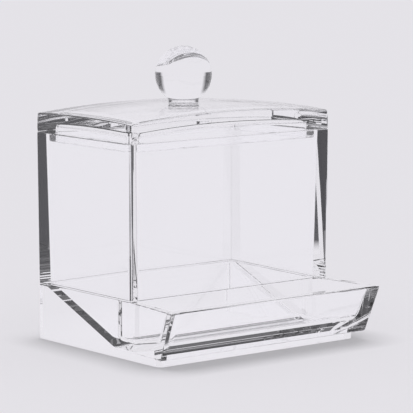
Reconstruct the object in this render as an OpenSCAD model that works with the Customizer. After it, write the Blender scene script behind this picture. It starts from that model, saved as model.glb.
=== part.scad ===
// Cotton swab dispenser: a clear box with a lift-off lid, standing on a base
// whose floor slopes forward under the front wall into an open tray. The base
// is open below and behind the slope, and the lid is hollow inside its plug.
// Millimetres. +Z is up and the tray faces -Y. The origin is the middle of
// the footprint, on the surface that the foot stands on.

/* [Box shell] */
// Outer width of the box where the lid sits
box_w = 87; // [78:0.5:120]
// Outer depth of the box where the lid sits
box_d = 55; // [48:0.5:80]
// Height of the box above the seam with the base
box_h = 53; // [35:0.5:90]
// Wall thickness at the mouth
wall_top = 3.5; // [3:0.1:5]
// Wall thickness at the seam
wall_seam = 4.2; // [4:0.1:6]
// How far each outer face draws in from the mouth to the seam
outer_draft = 0.4; // [0:0.1:1]
// Radius of the outer upright corners at the seam
outer_r = 0.6; // [0.4:0.1:3]
// Radius of the inner upright corners at the seam
inner_r = 1.2; // [0.8:0.1:3]

/* [Base and tray] */
// Height of the seam and of the tray's rim above the table
seam_h = 19.7; // [16:0.1:30]
// How far the tray's rim stands ahead of the box
tray_reach = 24.5; // [18:0.5:40]
// How far each end of the tray spreads beyond the box
tray_flare = 2.9; // [0:0.1:6]
// Lean of the tray's front wall from upright
tray_lean = 22; // [5:1:30]
// Thickness of the tray's front wall at the rim
tray_wall = 4.2; // [3:0.1:5]
// Thickness of the tray's end walls
tray_end = 3.6; // [2.6:0.1:4]
// Slope of the ramp below level
ramp_angle = 22; // [15:1:26]
// Thickness of the ramp
ramp_t = 2.4; // [2:0.1:3.5]
// Ledge behind the head of the ramp
ramp_ledge = 2.5; // [1:0.1:4]
// Height of the edge left below the ledge at the back
back_lip = 1.2; // [0.8:0.1:2]
// Height of the tray's floor above the table
floor_h = 5.2; // [5:0.1:8]
// Step down from the foot of the ramp to the tray's floor
pocket_drop = 0.7; // [0.4:0.1:2]
// Thickness of the tray's floor
floor_t = 2.4; // [1.6:0.1:2.6]
// Slope at which the floor rises towards the front wall
floor_rise = 11; // [4:1:16]
// How far behind the front of the box the floor starts to rise
rise_setback = 1; // [0:0.5:4]
// How far behind the front of the box the tray's pocket starts
pocket_setback = 10.5; // [6:0.5:12]
// Radius along the edges of the pocket's floor and corners
pocket_r = 2; // [1:0.1:3]
// Thickness of the side walls below the ramp
skirt_wall = 3.2; // [2.4:0.1:4]

/* [Foot] */
// Height of the foot
foot_h = 2.9; // [1.5:0.1:4]
// How far the foot stands behind the tray's lower front edge
foot_setback = 3.4; // [1:0.1:6]
// Thickness of the foot's front wall
foot_ring = 3; // [2.5:0.1:4]
// Radius of the foot's front corners
foot_r = 2.5; // [1:0.1:4]

/* [Lid] */
// Height of the lid's edge at its corners
lid_edge = 6.6; // [4:0.1:10]
// How far the dome's middle stands above the corners
lid_rise = 3.2; // [1:0.1:6]
// How far each side of the lid draws in from bottom to top
lid_draft = 0.1; // [0:0.1:0.8]
// Depth of the plug below the lid
plug_depth = 3; // [1.5:0.1:6]
// Gap between the plug and the box on each side
plug_gap = 0.35; // [0.2:0.05:0.8]
// Thickness of the plug's ring at its lower edge
plug_ring = 2.4; // [1.6:0.1:3.5]
// Thickness of the lid below the dome
lid_skin = 4.6; // [4:0.1:6]
// Radius in the corners of the lid's hollow
hollow_r = 2; // [1.5:0.1:4]
// Draft of the hollow's sides over the plug's depth
hollow_draft = 0.12; // [0:0.02:0.3]

/* [Knob] */
// Diameter of the ball
ball_d = 19.9; // [14:0.1:26]
// Diameter of the neck
neck_d = 10.5; // [8:0.1:12]
// Height of the neck below the ball
neck_h = 1.4; // [1:0.1:4]
// Diameter of the spigot set into the lid
spigot_d = 6; // [4:0.1:7]
// Length of the spigot
spigot_h = 3; // [2:0.1:3.4]
// Glue gap around and under the spigot
glue_gap = 0.1; // [0.05:0.05:0.2]

/* [Hidden] */
$fn = 96;
// Overlap given to cutting shapes
cut = 1;
clear_tint = [0.87, 0.88, 0.91, 0.5];
edge_tint = [0.78, 0.80, 0.84, 0.6];

// Plan
depth = box_d + tray_reach;
rim_y = -depth / 2;
box_front = rim_y + tray_reach;
box_mid = box_front + box_d / 2;
seam_half_w = box_w / 2 - outer_draft;
seam_half_d = box_d / 2 - outer_draft;
back_y = box_mid + seam_half_d;
rim_half_w = seam_half_w + tray_flare;

// Heights
lid_z = seam_h + box_h;
dome_z = lid_z + lid_edge + lid_rise;
lid_half_w = box_w / 2 - lid_draft;
lid_half_d = box_d / 2 - lid_draft;
dome_r = (lid_half_w * lid_half_w + lid_half_d * lid_half_d + lid_rise * lid_rise) / (2 * lid_rise);
ball_r = ball_d / 2;
neck_r = neck_d / 2;
// The neck stands on a flat seat cut where the dome is as wide as the neck
seat_z = dome_z - (dome_r - sqrt(dome_r * dome_r - neck_r * neck_r));
ball_z = seat_z + neck_h + sqrt(ball_r * ball_r - neck_r * neck_r);

// Inside of the box
well_half_w = seam_half_w - wall_seam;
well_half_d = seam_half_d - wall_seam;
well_growth = wall_seam - wall_top + outer_draft;
well_back = box_mid + well_half_d;

// Section of the swabs' way, from the back wall to the tray's front wall
ramp_foot = floor_h + pocket_drop;
ramp_head = well_back - ramp_ledge;
ramp_end = ramp_head - (seam_h - ramp_foot) / tan(ramp_angle);
rise_y = box_front + rise_setback;
pocket_back = box_front + pocket_setback;
lean = tan(tray_lean);
rise = tan(floor_rise);
function front_out(z) = rim_y + (seam_h - z) * lean;
function front_in(z) = front_out(z) + tray_wall;
rise_run = (rise_y - front_in(floor_h)) / (1 - rise * lean);
heel = [rise_y - rise_run, floor_h + rise_run * rise];
tray_low = front_out(foot_h);
foot_front = tray_low + foot_setback;

// Corner of a convex section moved inwards by r, between its neighbours
function unit(v) = v / norm(v);
function inward(a, b) = let (d = unit(b - a)) [-d[1], d[0]];
function inset(a, p, b, r) =
    let (m = inward(a, p), n = inward(p, b)) p + r * (m + n) / (1 + m * n);

// Block with rounded upright corners whose faces spread evenly with height
module spread_block(half_x, half_y, r, growth, h) {
    cx = half_x - r;
    cy = half_y - r;
    rotate([90, 0, 0])
        translate([0, 0, -cy])
        linear_extrude(2 * cy)
        polygon([[-half_x, 0], [half_x, 0], [half_x + growth, h], [-half_x - growth, h]]);
    rotate([90, 0, 90])
        translate([0, 0, -cx])
        linear_extrude(2 * cx)
        polygon([[-half_y, 0], [half_y, 0], [half_y + growth, h], [-half_y - growth, h]]);
    for (x = [-cx, cx], y = [-cy, cy])
        translate([x, y, 0])
        cylinder(r1 = r, r2 = r + growth, h = h);
}

// Shape with this section in Y and Z, carried across the width
module across(half_w, points) {
    rotate([90, 0, 90])
        translate([0, 0, -half_w])
        linear_extrude(2 * half_w)
        polygon(points);
}

// The walls stand straight on the table; the tray flares out ahead of them,
// over a foot with rounded front corners
module base_outside() {
    wall_front = box_front - 2 * outer_r;
    half_d = (back_y - wall_front) / 2;
    foot_half_d = (box_mid - foot_front) / 2;
    translate([0, back_y - half_d, 0])
        spread_block(seam_half_w, half_d, outer_r, 0, seam_h);
    translate([0, box_mid - foot_half_d, 0])
        spread_block(seam_half_w, foot_half_d, foot_r, 0, foot_h + floor_t / 2);
    intersection() {
        linear_extrude(seam_h)
            polygon([
                [-seam_half_w, box_front], [-rim_half_w, rim_y],
                [rim_half_w, rim_y], [seam_half_w, box_front]
            ]);
        across(rim_half_w + cut, [
            [box_front, foot_h], [box_front, seam_h], [rim_y, seam_h], [tray_low, foot_h]
        ]);
    }
}

// Room above the ramp, between the side walls
module ramp_way() {
    across(well_half_w, [
        [ramp_head, seam_h], [ramp_end, ramp_foot], [rise_y, ramp_foot],
        [rise_y, seam_h + cut], [ramp_head, seam_h + cut]
    ]);
}

// The tray's pocket: rounded all round, wider towards the front
module pocket() {
    top = seam_h + 2 * pocket_r;
    section = [
        [pocket_back, top], [front_in(top), top], heel,
        [rise_y, floor_h], [pocket_back, floor_h]
    ];
    spread = (rim_half_w - seam_half_w) / (pocket_back - front_in(seam_h));
    n = len(section);
    hull()
        for (i = [0 : n - 1], side = [-1, 1]) {
            p = inset(section[(i + n - 1) % n], section[i], section[(i + 1) % n], pocket_r);
            half = rim_half_w - tray_end - pocket_r - (p[0] - front_in(seam_h)) * spread;
            translate([side * half, p[0], p[1]])
                sphere(pocket_r, $fn = 32);
        }
}

// Hollow below the ramp and the floor, open to the back
module underside() {
    under_half = seam_half_w - skirt_wall;
    drop = ramp_t / cos(ramp_angle);
    under_z = floor_h - floor_t;
    slope = tan(ramp_angle);
    lip_y = min(back_y, ramp_head + (drop - back_lip) / slope);
    lip_z = seam_h - drop + (lip_y - ramp_head) * slope;
    under_end = ramp_head - (seam_h - drop - under_z) / slope;
    front = foot_front + foot_ring;
    across(under_half, [
        [back_y + cut, -cut], [back_y + cut, lip_z], [lip_y, lip_z], [under_end, under_z],
        [rise_y, under_z], [front, under_z + (rise_y - front) * rise], [front, -cut]
    ]);
}

module base_tray() {
    color(edge_tint)
        difference() {
            base_outside();
            ramp_way();
            pocket();
            underside();
        }
}

module box_shell() {
    draft = well_growth / box_h * cut;
    color(clear_tint)
        translate([0, box_mid, seam_h])
        difference() {
            spread_block(seam_half_w, seam_half_d, outer_r, outer_draft, box_h);
            translate([0, 0, -cut])
                spread_block(well_half_w - draft, well_half_d - draft, inner_r - draft,
                             well_growth + 2 * draft, box_h + 2 * cut);
        }
}

module lid() {
    corner = outer_r + outer_draft;
    mouth_half_w = well_half_w + well_growth;
    mouth_half_d = well_half_d + well_growth;
    plug_r = inner_r + well_growth - plug_gap;
    color(clear_tint)
        translate([0, box_mid, 0])
        difference() {
            union() {
                intersection() {
                    translate([0, 0, lid_z])
                        spread_block(box_w / 2, box_d / 2, corner, -lid_draft,
                                     lid_edge + lid_rise + cut);
                    translate([0, 0, dome_z - dome_r])
                        sphere(dome_r, $fn = 720);
                }
                translate([0, 0, lid_z - plug_depth])
                    plug(mouth_half_w - plug_gap, mouth_half_d - plug_gap, plug_r);
            }
            lid_hollow(mouth_half_w - plug_gap, mouth_half_d - plug_gap);
            translate([0, 0, seat_z])
                cylinder(r = neck_r, h = lid_rise);
            translate([0, 0, seat_z - spigot_h - glue_gap])
                cylinder(d = spigot_d + 2 * glue_gap, h = spigot_h + glue_gap + cut);
        }
}

// The plug narrows downwards with the walls of the mouth
module plug(half_x, half_y, r) {
    shrink = well_growth / box_h * plug_depth;
    spread_block(half_x - shrink, half_y - shrink, r - shrink, shrink, plug_depth);
}

// Hollow inside the plug's ring, under a ceiling that follows the dome
module lid_hollow(plug_half_w, plug_half_d) {
    h = plug_depth + lid_edge + lid_rise - lid_skin + cut;
    inset = plug_ring + well_growth / box_h * plug_depth;
    taper = hollow_draft / plug_depth * h;
    intersection() {
        translate([0, 0, lid_z - plug_depth - cut])
            spread_block(plug_half_w - inset, plug_half_d - inset, hollow_r, -taper, h + cut);
        translate([0, 0, dome_z - dome_r])
            sphere(dome_r - lid_skin, $fn = 720);
    }
}

module knob() {
    color(clear_tint)
        translate([0, box_mid, 0])
        union() {
            translate([0, 0, ball_z])
                sphere(ball_r);
            translate([0, 0, seat_z])
                cylinder(r = neck_r, h = ball_z - seat_z);
            translate([0, 0, seat_z - spigot_h])
                cylinder(d = spigot_d, h = spigot_h + cut);
        }
}

base_tray();
box_shell();
lid();
knob();
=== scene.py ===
import math

import bmesh
import bpy
import numpy as np
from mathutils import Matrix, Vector


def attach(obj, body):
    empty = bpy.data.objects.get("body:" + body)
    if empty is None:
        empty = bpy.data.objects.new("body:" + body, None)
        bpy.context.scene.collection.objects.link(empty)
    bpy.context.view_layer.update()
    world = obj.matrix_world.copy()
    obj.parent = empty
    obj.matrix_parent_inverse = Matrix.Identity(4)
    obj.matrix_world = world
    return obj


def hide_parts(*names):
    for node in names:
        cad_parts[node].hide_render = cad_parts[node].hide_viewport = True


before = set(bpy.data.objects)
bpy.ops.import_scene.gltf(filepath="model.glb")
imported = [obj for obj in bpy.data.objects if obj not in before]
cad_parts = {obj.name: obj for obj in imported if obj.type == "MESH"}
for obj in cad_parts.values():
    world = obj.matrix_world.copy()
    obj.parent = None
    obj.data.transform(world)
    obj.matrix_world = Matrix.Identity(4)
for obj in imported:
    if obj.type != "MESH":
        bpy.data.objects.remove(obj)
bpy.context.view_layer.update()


# Base tray: one clear acrylic moulding, with an open tray in front, a ramp behind it and two side
# walls that stand on the table. It is hollow under the ramp and open at the back.
# The box is solvent bonded to its top edge, so no air is left between the two pieces.
SEAM = 19.7  # height of the bonded edge and of the tray's rim, in millimetres as all sizes here
SIDE = 43.1  # half the width outside
WELL = 38.9  # half the width inside
BACK = 39.35  # back face; y runs from the front to the back
LEDGE = 35.45  # inner edge of the bond under the box's back wall
BOX_FRONT = -14.85  # front face of the box
RIM_BACK = -35.55  # inner edge of the tray's front rim
RIM_FRONT = -39.2  # where that rim starts to round off
TIP = -39.588  # foremost point of the rim
FOOT = 2.9  # height of the inset foot
FOOT_FRONT = -29.56  # front face of the foot


def eased(corners, setbacks):
    """A polyline of corners with each inner corner replaced by a parabola that starts and ends
    the given setback away from it: point = (1-t)^2 before + 2t(1-t) corner + t^2 after."""
    corners = np.asarray(corners, float)
    before = corners[:-2] - corners[1:-1]
    after = corners[2:] - corners[1:-1]
    before /= np.linalg.norm(before, axis=1, keepdims=True)
    after /= np.linalg.norm(after, axis=1, keepdims=True)
    reach = np.asarray(setbacks, float)[:, None]
    t = np.linspace(0.0, 1.0, 7)[None, :, None]
    corner = corners[1:-1, None, :]
    arcs = corner + (1 - t) ** 2 * (before * reach)[:, None, :] + t ** 2 * (after * reach)[:, None, :]
    return np.vstack([corners[:1], arcs.reshape(-1, 2), corners[-1:]])


def along(profile, y):
    """Height of a profile that runs from the back to the front, at the stations y: a straight
    line between each two of its points."""
    return np.interp(y, profile[::-1, 0], profile[::-1, 1])


def rounded_off(into, run, setback):
    """How far a rounded edge stands back, as a quarter of an ellipse: the setback times one minus
    the root of one minus the square of the share of the run that lies behind."""
    share = np.clip(into, 0, run) / run
    return setback * (1 - np.sqrt(np.clip(1 - share ** 2, 0, 1)))


def both_sides(x, y, z):
    """Rows of points from the left edge to the right one, from half rows that start in the middle:
    the same heights at x and at minus x."""
    full_x = np.column_stack([-x[:, :0:-1], x])
    full_z = np.column_stack([z[:, :0:-1], z])
    return np.stack([full_x, np.broadcast_to(y[:, None], full_x.shape), full_z], -1)


def quads(rows, columns, ring=False):
    """Corner numbers of the four-sided faces between neighbouring rows and columns of a grid
    whose points are numbered row by row; a ring grid also joins its last column to its first."""
    row = np.arange(rows - 1)[:, None] * columns
    left = np.arange(columns if ring else columns - 1)[None, :]
    right = (left + 1) % columns
    corners = np.stack([row + left, row + right, row + columns + right, row + columns + left], -1)
    return corners.reshape(-1, 4)


def strip(edge, further):
    """Corner numbers of the faces between a line of points and the same line one sheet further."""
    return np.stack([edge[:-1], edge[1:], edge[1:] + further, edge[:-1] + further], -1)


def moulding(name, points, faces, smooth, slots, materials):
    """A closed mesh from points in millimetres and four-sided faces: points that coincide are
    merged, so seams and poles close, and the faces are turned outwards."""
    millimetre = 0.001
    coincide = 2e-6
    mesh = bpy.data.meshes.new(name)
    mesh.vertices.add(len(points))
    mesh.vertices.foreach_set("co", (np.asarray(points) * millimetre).astype(np.float32).ravel())
    mesh.loops.add(faces.size)
    mesh.loops.foreach_set("vertex_index", faces.astype(np.int32).ravel())
    mesh.polygons.add(len(faces))
    mesh.polygons.foreach_set("loop_start", np.arange(len(faces), dtype=np.int32) * 4)
    mesh.polygons.foreach_set("use_smooth", smooth)
    mesh.polygons.foreach_set("material_index", slots.astype(np.int32))
    for material in materials:
        mesh.materials.append(material)
    mesh.update(calc_edges=True)
    work = bmesh.new()
    work.from_mesh(mesh)
    bmesh.ops.remove_doubles(work, verts=work.verts, dist=coincide)
    bmesh.ops.recalc_face_normals(work, faces=work.faces)
    work.to_mesh(mesh)
    work.free()
    mesh.validate()
    piece = bpy.data.objects.new(name, mesh)
    bpy.context.collection.objects.link(piece)
    return piece


def graded(tree, value, start, end, low, high):
    """A value that goes from low to high as the input goes from start to end, and stays there."""
    node = tree.nodes.new("ShaderNodeMapRange")
    node.inputs["From Min"].default_value = start
    node.inputs["From Max"].default_value = end
    node.inputs["To Min"].default_value = low
    node.inputs["To Max"].default_value = high
    tree.links.new(value, node.inputs["Value"])
    return node.outputs["Result"]


def clear_acrylic(name, waves_per_metre, wave_height):
    """Water-clear polished acrylic: light passes and bends at 1.49. Slow waves from moulding bend
    the surface a little, and fine wiping marks vary its gloss."""
    material = bpy.data.materials.new(name)
    material.use_nodes = True
    tree = material.node_tree
    shader = tree.nodes["Principled BSDF"]
    shader.inputs["Base Color"].default_value = (0.985, 0.985, 0.99, 1.0)
    shader.inputs["IOR"].default_value = 1.49
    shader.inputs["Transmission Weight"].default_value = 1.0
    place = tree.nodes.new("ShaderNodeTexCoord")
    marks = tree.nodes.new("ShaderNodeTexNoise")
    marks.inputs["Scale"].default_value = 900.0
    marks.inputs["Detail"].default_value = 4.0
    tree.links.new(place.outputs["Object"], marks.inputs["Vector"])
    roughness = graded(tree, marks.outputs["Fac"], 0.45, 0.80, 0.0, 0.03)
    tree.links.new(roughness, shader.inputs["Roughness"])
    waves = tree.nodes.new("ShaderNodeTexNoise")
    waves.inputs["Scale"].default_value = waves_per_metre
    waves.inputs["Detail"].default_value = 1.0
    tree.links.new(place.outputs["Object"], waves.inputs["Vector"])
    bump = tree.nodes.new("ShaderNodeBump")
    bump.inputs["Strength"].default_value = 1.0
    bump.inputs["Distance"].default_value = wave_height
    tree.links.new(waves.outputs["Fac"], bump.inputs["Height"])
    tree.links.new(bump.outputs["Normal"], shader.inputs["Normal"])
    return material


def solvent_bond():
    """Faces where two pieces are bonded into one: light goes straight on, as in solid acrylic."""
    material = bpy.data.materials.new("solvent_bond")
    material.use_nodes = True
    tree = material.node_tree
    tree.nodes.remove(tree.nodes["Principled BSDF"])
    clear = tree.nodes.new("ShaderNodeBsdfTransparent")
    tree.links.new(clear.outputs["BSDF"], tree.nodes["Material Output"].inputs["Surface"])
    return material


acrylic_walls = clear_acrylic("clear_acrylic_walls", 45.0, 0.00002)
bond = solvent_bond()


def base_tray():
    """A cross-section carried from back to front. At each station the upper line runs over the
    outside, the rim, the pocket or ramp and back down, the lower line over the hollow below;
    the profiles give the heights and half-widths of those lines at every station."""
    quarter = np.linspace(0.0, math.pi / 2, 7)
    sine = np.sin(quarter)
    cosine = np.cos(quarter)
    back_corner = 0.6
    foot_corner = 2.5
    lip_run = 0.388
    lip_drop = 0.3
    hollow_front = -29.0
    pocket_start = -4.2  # the sides of the ramp turn into those of the pocket from here
    pocket_full = -7.0  # to here
    pocket_floor = -6.0  # the pocket's own floor lies in front of here
    edge_start = -14.9  # edges are softer in front of here
    edge_run = 0.8
    edge_radius = 0.3
    edge_more = 0.15
    edge_share = 0.45  # the most of the side's height that one edge takes up
    heel_radius = 0.5
    flare_start = -15.25  # sides lean outwards from here to the front
    flare_run = 24.5
    flare_width = 2.9
    front_start = -38.95  # the tray's front corners round off from here
    front_run = 0.64
    front_setback = 0.5

    # Profiles as (y, z), from the back to the front, with a setback for each inner corner.
    lip = np.column_stack([RIM_FRONT - lip_run * sine, SEAM - lip_drop + lip_drop * cosine])
    inside = eased(
        [(BACK, SEAM), (32.65, SEAM),  # ledge
         (-1.51, 5.9), (-5.23, 5.9),  # foot of the ramp
         (-5.8, 5.44), (-6.75, 5.2),  # step into the pocket
         (-14.25, 5.2), (-31.0, 8.46),  # floor that rises to the front
         (RIM_BACK, SEAM), (RIM_FRONT, SEAM)],  # leaning front wall and rim
        [0.6, 1.5, 0.15, 0.2, 0.4, 1.0, 2.2, 0.6])
    inside = np.vstack([inside[:-1], lip])
    outside = eased(
        [(BACK, 0), (FOOT_FRONT, 0), (FOOT_FRONT - 0.02, FOOT),  # foot
         (-32.96, FOOT), (TIP, 19.3)],  # heel and leaning front
        [0.005, 0.005, 0.5])
    hollow = eased(
        [(BACK, 18.5), (36.09, 18.5),  # under the ledge
         (-2.77, 2.8), (-14.25, 2.8), (-26.56, 5.19),  # under the ramp and the pocket
         (-26.58, 0), (hollow_front, 0)],  # inside of the foot
        [0.6, 1.5, 1.0, 0.005, 0.005])

    # Stations: every bend of a profile, the rounded corners and the places where widths change.
    turn_back = BACK - back_corner * (1 - sine)
    turn_foot = FOOT_FRONT + foot_corner * (1 - sine)
    widths_change = [
        pocket_start, -4.6, -5.0, -5.4, -5.8, -6.2, -6.6, pocket_full, -10.65,
        BOX_FRONT, edge_start, flare_start, -15.7, -16.2, -20.0, LEDGE, -38.7, -39.0]
    y = np.unique(np.concatenate(
        [inside[:, 0], outside[:, 0], hollow[:, 0], turn_back, turn_foot, widths_change]))[::-1]

    # Heights at every station.
    floor = along(inside, y)
    under = along(outside, y)
    ceiling = np.where(y > hollow_front, along(hollow, y), under)
    low_edge = np.maximum(under, FOOT)
    top = np.where(y < RIM_FRONT, floor, SEAM)
    depth = SEAM - floor

    # Half-widths and the radii of the edges at every station.
    flare = flare_width * np.clip((flare_start - y) / flare_run, 0.0, 1.0)
    back_turn = rounded_off(y - BACK + back_corner, back_corner, back_corner)
    front_turn = rounded_off(front_start - y, front_run, front_setback)
    foot_turn = rounded_off(FOOT_FRONT + foot_corner - y, foot_corner, foot_corner)
    outer = SIDE + flare - back_turn - front_turn
    inner = np.interp(
        y,
        [RIM_BACK, BOX_FRONT, pocket_full, -6.2, -5.4, -4.6, pocket_start],
        [42.4, 39.95, 39.69, 39.5, 39.2, 38.95, WELL])
    fillet = np.minimum(np.interp(y, [pocket_full, pocket_start], [2.0, 0.4]), depth)
    soft = edge_radius + edge_more * np.clip((edge_start - y) / edge_run, 0.0, 1.0)
    room = np.maximum(SEAM - low_edge, 0.0) * edge_share
    inner_edge = np.minimum(soft, np.maximum(depth - fillet, 0.0))
    outer_edge = np.minimum(soft, room)
    heel_edge = np.minimum(heel_radius * np.minimum(1.0, flare), room)
    foot = np.minimum(SIDE - back_turn - foot_turn, outer - heel_edge)

    # Upper line from the middle outwards: floor, fillet, rim's two edges, heel and foot.
    half_x = np.column_stack([
        np.zeros_like(y),
        (inner - fillet)[:, None] + fillet[:, None] * sine,
        inner[:, None] + inner_edge[:, None] * (1 - cosine),
        outer[:, None] - outer_edge[:, None] * (1 - sine),
        outer[:, None] - heel_edge[:, None] * (1 - cosine),
        foot,
        foot])
    half_z = np.column_stack([
        floor,
        floor[:, None] + fillet[:, None] * (1 - cosine),
        top[:, None] - inner_edge[:, None] * (1 - sine),
        top[:, None] - outer_edge[:, None] * (1 - cosine),
        low_edge[:, None] + heel_edge[:, None] * (1 - sine),
        low_edge,
        under])

    # Lower line from the middle outwards: the hollow's ceiling, then its side down to the table.
    hollow_side = 39.9
    least_wall = 0.5
    ceiling_share = 0.7
    share = np.linspace(0.0, 1.0, half_x.shape[1])[None, :]
    span = np.minimum(share / ceiling_share, 1.0)
    drop = np.clip((share - ceiling_share) / (1 - ceiling_share), 0.0, 1.0)
    below_x = np.minimum(hollow_side, foot - least_wall)[:, None] * span
    below_z = ceiling[:, None] + (under - ceiling)[:, None] * drop

    # Two sheets, joined round their edges.
    upper = both_sides(half_x, y, half_z)
    lower = both_sides(below_x, y, below_z)
    rows, columns = upper.shape[:2]
    size = rows * columns
    points = np.vstack([upper.reshape(-1, 3), lower.reshape(-1, 3)])
    index = np.arange(size).reshape(rows, columns)
    sheet = quads(rows, columns)
    faces = np.vstack([
        sheet, sheet + size, strip(index[:, 0], size), strip(index[:, -1], size),
        strip(index[0], size), strip(index[-1], size)])

    # The level faces that carry the box are bonded; the pocket's fillets are shaded smooth.
    flat = 1e-4
    margin = 0.05
    corners = points[faces]
    middle = corners.mean(1)
    level = (np.abs(corners[:, :, 2] - SEAM) < flat).all(1)
    on_side = np.abs(middle[:, 0]) > WELL - margin
    under_box = (middle[:, 1] > BOX_FRONT) & (on_side | (middle[:, 1] > LEDGE))
    slots = np.where(level & under_box, 1, 0)
    column = np.tile(np.arange(columns - 1), rows - 1)
    from_middle = np.abs(column - (columns - 2) / 2)
    on_fillet = (from_middle > 1) & (from_middle < len(quarter))
    in_pocket = middle[:len(sheet), 1] < pocket_floor
    smooth = np.zeros(len(faces), bool)
    smooth[:len(sheet)] = on_fillet & in_pocket
    return moulding("tray_base", points, faces, smooth, slots, [acrylic_walls, bond])


tray_base = base_tray()
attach(tray_base, "body")
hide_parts("base_tray")


# Box shell: four clear acrylic walls moulded as one frame, a little wider at the mouth, with
# a soft top edge. Its lower edge is solvent bonded to the base; only the front wall's hangs free.
MOUTH = 72.7  # height of the top edge
BOX_MIDDLE = 12.25  # middle of the box, in y


def rounded_loop(half_x, half_y, radius, shares, arc):
    """Points round a rectangle with rounded corners, for arrays of half-widths, half-depths and
    radii: each side has points at the given shares of its straight length, each corner an arc."""
    half_x, half_y, radius = [np.asarray(v, float)[:, None] for v in (half_x, half_y, radius)]
    flat_x = half_x - radius
    flat_y = half_y - radius
    run = 2 * shares - 1
    turn = np.linspace(0.0, math.pi / 2, arc)[None, :]
    one = np.ones_like(run)
    x = [flat_x * run, flat_x + radius * np.sin(turn), half_x * one, flat_x + radius * np.cos(turn),
         -flat_x * run, -flat_x - radius * np.sin(turn), -half_x * one, -flat_x - radius * np.cos(turn)]
    y = [-half_y * one, -flat_y - radius * np.cos(turn), flat_y * run, flat_y + radius * np.sin(turn),
         half_y * one, flat_y + radius * np.cos(turn), -flat_y * run, -flat_y - radius * np.sin(turn)]
    return np.concatenate(x, 1), np.concatenate(y, 1) + BOX_MIDDLE


def box_shell():
    """The wall's section carried round the rounded rectangle: up the outside, over the softened
    top edge, down the inside and back along the lower edge, where it is bonded. A groove runs
    along the seam on both faces."""
    half_depth = 27.1
    well_depth = 22.9
    outer_corner = 0.6
    inner_corner = 0.5
    groove = 0.3
    groove_bend = 0.09
    draft = 0.4
    outer_edge = 0.4
    inner_draft = 1.1
    inner_edge = 0.5
    outer_inset = 3.8  # the outer points stand opposite the inner corners
    inner_inset = 0.1
    corner_points = 8

    turn = np.linspace(0.0, math.pi / 2, 5)
    grow = np.concatenate([
        [-groove, -groove_bend, 0.0],
        draft - outer_edge * (1 - np.cos(turn))])
    height = np.concatenate([
        [SEAM, SEAM + groove_bend, SEAM + groove],
        MOUTH - outer_edge + outer_edge * np.sin(turn)])
    inner_grow = np.concatenate([
        inner_draft + inner_edge - inner_edge * np.sin(turn),
        [0.0, groove_bend, groove]])
    inner_height = np.concatenate([
        MOUTH - inner_edge * (1 - np.cos(turn)),
        [SEAM + groove, SEAM + groove_bend, SEAM]])
    half_x = np.concatenate([SIDE + grow, WELL + inner_grow])
    half_y = np.concatenate([half_depth + grow, well_depth + inner_grow])
    radius = np.concatenate([outer_corner + grow, np.full_like(inner_grow, inner_corner)])
    z = np.concatenate([height, inner_height])
    inset = np.where(np.arange(len(z)) < len(grow), outer_inset, inner_inset)[:, None]
    near = inset / (2 * (half_x - radius))[:, None]
    shares = np.concatenate([near, 1 - near], 1)
    x, y = rounded_loop(half_x, half_y, radius, shares, corner_points)

    rows, columns = x.shape
    points = np.stack([x, y, np.broadcast_to(z[:, None], x.shape)], -1).reshape(-1, 3)
    wall = quads(rows, columns, ring=True)
    outside = np.arange(columns)
    outside_next = (outside + 1) % columns
    inside = (rows - 1) * columns
    lower_edge = np.stack([inside + outside, inside + outside_next, outside_next, outside], -1)
    faces = np.vstack([wall, lower_edge])
    front_face = len(wall)
    slots = np.zeros(len(faces), int)
    slots[len(wall):] = 1
    slots[front_face] = 0
    smooth = np.zeros(len(faces), bool)
    return moulding("box_walls", points, faces, smooth, slots, [acrylic_walls, bond])


box_walls = box_shell()
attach(box_walls, "body")
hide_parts("box_shell")


# Lid: a thick clear acrylic moulding with a slightly domed top, hollow inside the ring that plugs
# the box's mouth. It rests loose on the box's edge; its middle has a socket for the knob.
acrylic_lid = clear_acrylic("clear_acrylic_lid", 60.0, 0.00003)
DOME_RADIUS = 413.2
DOME_TOP = 82.5
CEILING_RADIUS = 408.6
CEILING_TOP = 77.9
SEAT = 82.467  # height of the flat that the knob stands on


def domed(x, y, top, radius):
    """Height of a sphere whose top is over the box's middle: the top, less the radius, plus the
    root of the radius squared less the squared distance from the middle."""
    return top - radius + np.sqrt(radius ** 2 - x ** 2 - (y - BOX_MIDDLE) ** 2)


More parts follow.
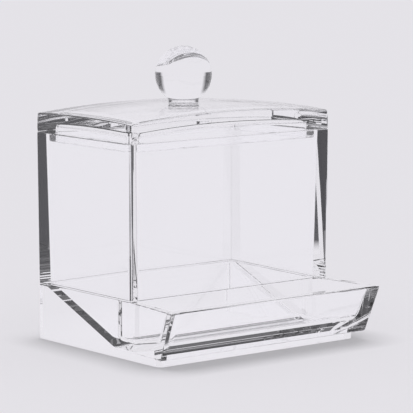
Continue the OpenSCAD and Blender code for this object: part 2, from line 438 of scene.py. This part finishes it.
def lid_moulding():
    """Loops from the middle of the ceiling out and round to the socket's floor: ceiling, hollow's
    wall, ring, rest, skirt, soft top edge, dome, seat and socket. Loops on the ceiling and the
    dome run from a circle round the middle to the rounded rectangle, along straight spokes."""
    hollow_side = 36.95  # sides are half-widths
    hollow_fillet = 2.0
    hollow_corner = 2.0
    ceiling_level = 75.6
    ring_inside = 37.15
    ring_outside = 39.29
    ring_root = 39.65
    ring_corner = 1.85
    ring_soft = 0.3
    ring_end = 69.7
    rest = MOUTH + 0.03  # a film of air under the lid
    rest_side = 43.35
    rest_corner = 0.9
    skirt_side = 43.4
    skirt_corner = 1.0
    skirt_soft = 0.1
    skirt_soft_corner = 0.95
    skirt_start = rest + 0.05
    skirt_top = 79.0
    top_soft = 0.7
    narrower = 16.0  # how much less the lid's half-depth is than its half-width
    seat_edge = 5.3
    seat_radius = 5.25
    socket_radius = 3.1
    socket_floor = SEAT - 3.1

    side_points = 22
    dome_loops = 24
    ceiling_loops = 20
    shares = (np.arange(side_points) + 0.5) / side_points
    turn = np.linspace(0.0, math.pi / 2, 7)
    arc = len(turn)
    sine = np.sin(turn)
    cosine = np.cos(turn)
    coarse = sine[[3, 6]]
    half_x = np.concatenate([
        hollow_side - hollow_fillet * (1 - sine),
        ring_inside + ring_soft * (1 - cosine),
        ring_outside + ring_soft * sine,
        [ring_root, rest_side],
        skirt_side + skirt_soft * coarse,
        skirt_side - top_soft * (1 - cosine)])
    half_y = half_x - narrower
    z = np.concatenate([
        ceiling_level - hollow_fillet * (1 - cosine),
        ring_end + ring_soft - ring_soft * sine,
        ring_end + ring_soft * (1 - cosine),
        [rest, rest],
        skirt_start + skirt_soft * coarse,
        skirt_top + top_soft * sine])
    radius = np.concatenate([
        np.full(2 * arc, hollow_corner),
        np.full(arc + 1, ring_corner),
        [rest_corner, skirt_soft_corner],
        np.full(arc + 1, skirt_corner)])
    x, y = rounded_loop(half_x, half_y, radius, shares, arc)
    columns = x.shape[1]

    # The hollow's fillet follows the curved ceiling, and the soft top edge the dome.
    z = np.repeat(z[:, None], columns, 1)
    ceiling_edge = domed(x[0], y[0], CEILING_TOP, CEILING_RADIUS)
    z[:arc] += (ceiling_edge - ceiling_level)[None, :]
    top_edge = domed(x[-1], y[-1], DOME_TOP, DOME_RADIUS)
    lift = np.clip((z[-arc:] - skirt_top) / top_soft, 0.0, 1.0)
    z[-arc:] = (top_edge - top_soft)[None, :] + top_soft * lift

    # Ceiling, dome and seat.
    away = np.hypot(x[-1], y[-1] - BOX_MIDDLE)
    spoke_x = x[-1] / away
    spoke_y = (y[-1] - BOX_MIDDLE) / away
    step = np.linspace(1.0, 0.0, dome_loops + 1)[1:, None]
    dome_x = seat_edge * spoke_x + step * (x[-1] - seat_edge * spoke_x)
    dome_y = seat_edge * spoke_y + step * (y[-1] - BOX_MIDDLE - seat_edge * spoke_y) + BOX_MIDDLE
    dome_z = domed(dome_x, dome_y, DOME_TOP, DOME_RADIUS)
    ring = np.array([seat_radius, socket_radius, socket_radius, 0.0])[:, None]
    seat_x = ring * spoke_x
    seat_y = ring * spoke_y + BOX_MIDDLE
    seat_z = np.array([SEAT, SEAT, socket_floor, socket_floor])[:, None] + np.zeros_like(seat_x)
    rise = np.linspace(0.0, 1.0, ceiling_loops + 1)[:-1, None]
    roof_x = rise * x[0]
    roof_y = rise * (y[0] - BOX_MIDDLE) + BOX_MIDDLE
    roof_z = domed(roof_x, roof_y, CEILING_TOP, CEILING_RADIUS)

    points = np.stack([
        np.concatenate([roof_x, x, dome_x, seat_x]),
        np.concatenate([roof_y, y, dome_y, seat_y]),
        np.concatenate([roof_z, z, dome_z, seat_z])], -1)
    rows = len(points)
    faces = quads(rows, columns, ring=True)
    row = np.repeat(np.arange(rows - 1), columns)
    first_dome = len(roof_x) + len(x) - 1
    on_ceiling = row < len(roof_x) + arc - 1
    on_dome = (row > first_dome - arc) & (row < first_dome + dome_loops)
    slots = np.zeros(len(faces), int)
    return moulding(
        "lid_moulding", points.reshape(-1, 3), faces, on_ceiling | on_dome, slots, [acrylic_lid])


lid_piece = lid_moulding()
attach(lid_piece, "lid_set")
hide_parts("lid")


# Knob: a solid clear acrylic ball on a short neck, turned or moulded in one and polished, with
# a spigot below that is glued into the lid's socket.
acrylic_knob = clear_acrylic("clear_acrylic_knob", 40.0, 0.00001)


def ball_knob():
    """An outline turned round the upright axis: spigot, neck, hollow curve and ball. At each angle
    a point lies its radius times the cosine to the side and times the sine to the back."""
    ball_height = 92.318
    ball_radius = 9.95
    ball_start = 5.6  # radius where the ball grows out of the neck
    spigot_radius = 3.0
    spigot_end = 79.466
    neck_radius = 5.25
    neck_foot = 82.496  # a film of air over the seat
    neck_top = 83.6
    crease = math.radians(25)
    ball_points = 60
    round_points = 96

    swing = np.linspace(math.asin(ball_start / ball_radius), math.pi, ball_points)
    ball = np.column_stack([ball_radius * np.sin(swing), ball_height - ball_radius * np.cos(swing)])
    stem = eased(
        [(0, spigot_end), (spigot_radius, spigot_end), (spigot_radius, neck_foot),
         (neck_radius, neck_foot), (neck_radius, neck_top), tuple(ball[0])],
        [0.3, 0.02, 0.15, 0.35])
    outline = np.vstack([stem[:-1], ball])
    angle = np.linspace(0.0, 2 * math.pi, round_points + 1)[:-1]
    x = outline[:, :1] * np.cos(angle)
    y = outline[:, :1] * np.sin(angle) + BOX_MIDDLE
    z = np.repeat(outline[:, 1:], len(angle), 1)
    points = np.stack([x, y, z], -1).reshape(-1, 3)
    faces = quads(len(outline), len(angle), ring=True)
    smooth = np.ones(len(faces), bool)
    slots = np.zeros(len(faces), int)
    piece = moulding("ball_knob", points, faces, smooth, slots, [acrylic_knob])
    piece.data.set_sharp_from_angle(angle=crease)
    return piece


knob_piece = ball_knob()
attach(knob_piece, "lid_set")
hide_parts("knob")


# Studio: a pale paper floor under a pale tent of even light. Painted dark reflections stand in for
# dark cards out of the picture, as rules in floor and tent: light that the acrylic has mirrored,
# caught, or bent in one piece alone finds painted dark places, and light going straight through finds
# pale ones.
PALE = (0.783, 0.768, 0.807, 1.0)
AZIMUTH = math.radians(-38.62)  # camera's turn round the object, from the front
FAR_ENDS = (0.52, 0.66)  # sine of the turn away from the view: where the far ends start, are full


def number(tree, operation, first, second=None, third=None):
    """One sum of a node tree: each value is a number or the output of another node."""
    node = tree.nodes.new("ShaderNodeMath")
    node.operation = operation
    for socket, value in zip(node.inputs, (first, second, third)):
        if isinstance(value, (int, float)):
            socket.default_value = value
        elif value is not None:
            tree.links.new(value, socket)
    return node.outputs[0]


def to_the_right(tree, split):
    """How far a place or direction is to the camera's right: x times the cosine of the camera's
    turn, plus y times its sine."""
    across = number(tree, "MULTIPLY", split.outputs["X"], math.cos(AZIMUTH))
    return number(tree, "MULTIPLY_ADD", split.outputs["Y"], math.sin(AZIMUTH), across)


def light_story(tree, path):
    """What has befallen the light, as four values from 0 to 1 read from its counts: mirrored twice
    or more; caught, which is mirrored seven times or more and in full from eleven; bent by one
    piece alone, in and out and never mirrored; fresh, which is not scattered yet."""
    mirrorings = path.outputs["Glossy Depth"]
    mirrored = number(tree, "GREATER_THAN", mirrorings, 1.5)
    straight = number(tree, "LESS_THAN", mirrorings, 0.5)
    caught = number(tree, "GREATER_THAN", mirrorings, 6.5)
    caught = number(tree, "MULTIPLY", caught, graded(tree, mirrorings, 7.0, 11.0, 0.88, 1.0))
    bent = number(tree, "COMPARE", path.outputs["Transmission Depth"], 2.0, 0.5)
    bent = number(tree, "MULTIPLY", bent, straight)
    fresh = number(tree, "LESS_THAN", path.outputs["Diffuse Depth"], 0.5)
    return mirrored, caught, bent, fresh


def tint_made_up(tree, path):
    """Strength of the light by its passages through acrylic faces: up a tenth after six of them,
    which makes up for the acrylic's tint."""
    return graded(tree, path.outputs["Transmission Depth"], 0.0, 6.0, 1.0, 1.10)


def paper_floor():
    """A square of paper under the object that scatters light and also glows. Its dark share, a painted
    dark reflection, is the largest of three: for mirrored light, beyond a line on either side of the
    object; for caught light, everywhere, but less close behind; for bent light, the far ends. Scattered
    light finds none. The glow is stronger for light that came through acrylic, most so near the foot,
    where it is painted light, and for the camera it is weaker where the object is close to the paper,
    a painted contact shadow."""
    half = 6.0
    corners = [(-half, -half, 0), (half, -half, 0), (half, half, 0), (-half, half, 0)]
    mesh = bpy.data.meshes.new("paper_floor")
    mesh.from_pydata(corners, [], [(0, 1, 2, 3)])
    piece = bpy.data.objects.new("paper_floor", mesh)
    bpy.context.collection.objects.link(piece)
    material = bpy.data.materials.new("pale_paper")
    material.use_nodes = True
    mesh.materials.append(material)
    tree = material.node_tree
    paper = tree.nodes["Principled BSDF"]
    paper.inputs["Base Color"].default_value = (0.98, 0.98, 0.98, 1)
    paper.inputs["Roughness"].default_value = 1.0
    paper.inputs["Specular IOR Level"].default_value = 0.0

    # Where on the floor, in metres.
    place = tree.nodes.new("ShaderNodeNewGeometry")
    split = tree.nodes.new("ShaderNodeSeparateXYZ")
    tree.links.new(place.outputs["Position"], split.inputs[0])
    across = to_the_right(tree, split)
    y_squared = number(tree, "MULTIPLY", split.outputs["Y"], split.outputs["Y"])
    squared = number(tree, "MULTIPLY_ADD", split.outputs["X"], split.outputs["X"], y_squared)
    away = number(tree, "SQRT", squared)
    turned = number(tree, "ABSOLUTE", number(tree, "DIVIDE", across, away))
    right_card = graded(tree, across, 0.25, 0.30, 0.0, 1.0)
    left_card = graded(tree, across, -0.13, -0.16, 0.0, 1.0)
    aside = number(tree, "MAXIMUM", right_card, left_card)
    to_an_end = graded(tree, turned, *FAR_ENDS, 0.0, 1.0)
    far = graded(tree, away, 0.70, 0.90, 0.0, 1.0)
    ends = number(tree, "MULTIPLY", to_an_end, far)
    backwards = graded(tree, split.outputs["Y"], 0.02, 0.05, 0.0, 1.0)
    close = graded(tree, away, 0.10, 0.14, 1.0, 0.0)
    behind = number(tree, "MULTIPLY", backwards, close)

    # The dark share: painted dark reflections.
    path = tree.nodes.new("ShaderNodeLightPath")
    mirrored, caught, bent, fresh = light_story(tree, path)
    caught = number(tree, "MULTIPLY", caught, graded(tree, behind, 0.0, 1.0, 1.0, 0.72))
    shade = number(tree, "MAXIMUM", number(tree, "MULTIPLY", aside, mirrored), caught)
    shade = number(tree, "MAXIMUM", shade, number(tree, "MULTIPLY", ends, bent))
    shade = number(tree, "MULTIPLY", shade, fresh)
    # Painted dark reflection: the paper turns dark for the light that the shade picks out.
    dark = tree.nodes.new("ShaderNodeBsdfDiffuse")
    dark.inputs["Color"].default_value = (0.075, 0.075, 0.08, 1)
    scattered = tree.nodes.new("ShaderNodeMixShader")
    tree.links.new(shade, scattered.inputs[0])
    tree.links.new(paper.outputs[0], scattered.inputs[1])
    tree.links.new(dark.outputs[0], scattered.inputs[2])

    # The glow's strength, with painted light near the foot and a painted contact shadow for the camera.
    # Painted contact shadow: ambient occlusion dims the glow for the camera where the object is close.
    contact_shadow_occlusion = tree.nodes.new("ShaderNodeAmbientOcclusion")
    contact_shadow_occlusion.inputs["Distance"].default_value = 0.016
    painted_contact_shadow = graded(tree, contact_shadow_occlusion.outputs["AO"], 0.5, 1.0, 0.55, 1.0)
    not_camera = number(tree, "SUBTRACT", 1.0, path.outputs["Is Camera Ray"])
    painted_contact_shadow = number(tree, "MAXIMUM", painted_contact_shadow, not_camera)
    came_through = graded(tree, path.outputs["Transmission Depth"], 0.0, 1.0, 0.0, 1.0)
    # Painted light: the glow seen through acrylic is up to 7 % stronger close to the foot.
    painted_light_near_foot = graded(tree, away, 0.03, 0.08, 0.07, 0.0)
    glow_with_painted_light = number(tree, "MULTIPLY_ADD", came_through, painted_light_near_foot, 1.0)
    strength = number(tree, "MULTIPLY", tint_made_up(tree, path), glow_with_painted_light)
    strength = number(tree, "MULTIPLY", strength, painted_contact_shadow)
    glow = tree.nodes.new("ShaderNodeEmission")
    glow.inputs["Color"].default_value = PALE
    tree.links.new(strength, glow.inputs["Strength"])

    # Scattering and glow together.
    glow_share = graded(tree, path.outputs["Transmission Depth"], 0.0, 1.0, 0.75, 0.95)
    pale = number(tree, "MULTIPLY", fresh, number(tree, "SUBTRACT", 1.0, shade))
    backdrop = tree.nodes.new("ShaderNodeMixShader")
    tree.links.new(number(tree, "MULTIPLY", glow_share, pale), backdrop.inputs[0])
    tree.links.new(scattered.outputs[0], backdrop.inputs[1])
    tree.links.new(glow.outputs[0], backdrop.inputs[2])
    tree.links.new(backdrop.outputs[0], tree.nodes["Material Output"].inputs["Surface"])


def light_tent():
    """Even pale light from all round. Its dark share, a painted dark reflection, is the largest of
    three: for mirrored light, the low parts far to the left and right; for caught light, everywhere;
    for bent light, the far ends up to a greater height. Scattered light finds none."""
    world = bpy.data.worlds.new("light_tent")
    bpy.context.scene.world = world
    world.use_nodes = True
    tree = world.node_tree
    sky = tree.nodes["Background"]
    place = tree.nodes.new("ShaderNodeTexCoord")
    split = tree.nodes.new("ShaderNodeSeparateXYZ")
    tree.links.new(place.outputs["Generated"], split.inputs[0])
    across = number(tree, "ABSOLUTE", to_the_right(tree, split))
    to_a_side = graded(tree, across, 0.60, 0.75, 0.0, 1.0)
    low = graded(tree, split.outputs["Z"], 0.10, 0.25, 1.0, 0.0)
    aside = number(tree, "MULTIPLY", to_a_side, low)
    to_an_end = graded(tree, across, *FAR_ENDS, 0.0, 1.0)
    not_high = graded(tree, split.outputs["Z"], 0.45, 0.65, 1.0, 0.0)
    ends = number(tree, "MULTIPLY", to_an_end, not_high)
    path = tree.nodes.new("ShaderNodeLightPath")
    mirrored, caught, bent, fresh = light_story(tree, path)
    shade = number(tree, "MAXIMUM", number(tree, "MULTIPLY", aside, mirrored), caught)
    shade = number(tree, "MAXIMUM", shade, number(tree, "MULTIPLY", ends, bent))
    shade = number(tree, "MULTIPLY", shade, fresh)
    # Painted dark reflection: the tent turns dark for the light that the shade picks out.
    colour = tree.nodes.new("ShaderNodeMixRGB")
    colour.inputs["Color1"].default_value = PALE
    colour.inputs["Color2"].default_value = (0.06, 0.06, 0.064, 1)
    tree.links.new(shade, colour.inputs["Fac"])
    tree.links.new(colour.outputs["Color"], sky.inputs["Color"])
    tree.links.new(tint_made_up(tree, path), sky.inputs["Strength"])


paper_floor()
light_tent()


# Camera: a long lens, a little higher than the knob and left of the front, as in the picture.
# Light may turn often enough to find its way out of thick acrylic.
ELEVATION = math.radians(7.58)
DISTANCE = 0.84349
BOUNCES = 32
aim = Vector((-0.01156, -0.01508, 0.0496))
towards = Vector((
    math.sin(AZIMUTH) * math.cos(ELEVATION),
    -math.cos(AZIMUTH) * math.cos(ELEVATION),
    math.sin(ELEVATION)))
lens = bpy.data.cameras.new("camera")
lens.sensor_width = 36.0
lens.lens = 216.63
lens.clip_start = 0.05
lens.clip_end = 30.0
camera = bpy.data.objects.new("camera", lens)
bpy.context.collection.objects.link(camera)
camera.location = aim + towards * DISTANCE
camera.rotation_mode = "QUATERNION"
camera.rotation_quaternion = (-towards).to_track_quat("-Z", "Y")
scene = bpy.context.scene
scene.camera = camera
scene.view_settings.view_transform = "Standard"
scene.cycles.max_bounces = BOUNCES
scene.cycles.transmission_bounces = BOUNCES
scene.cycles.glossy_bounces = BOUNCES
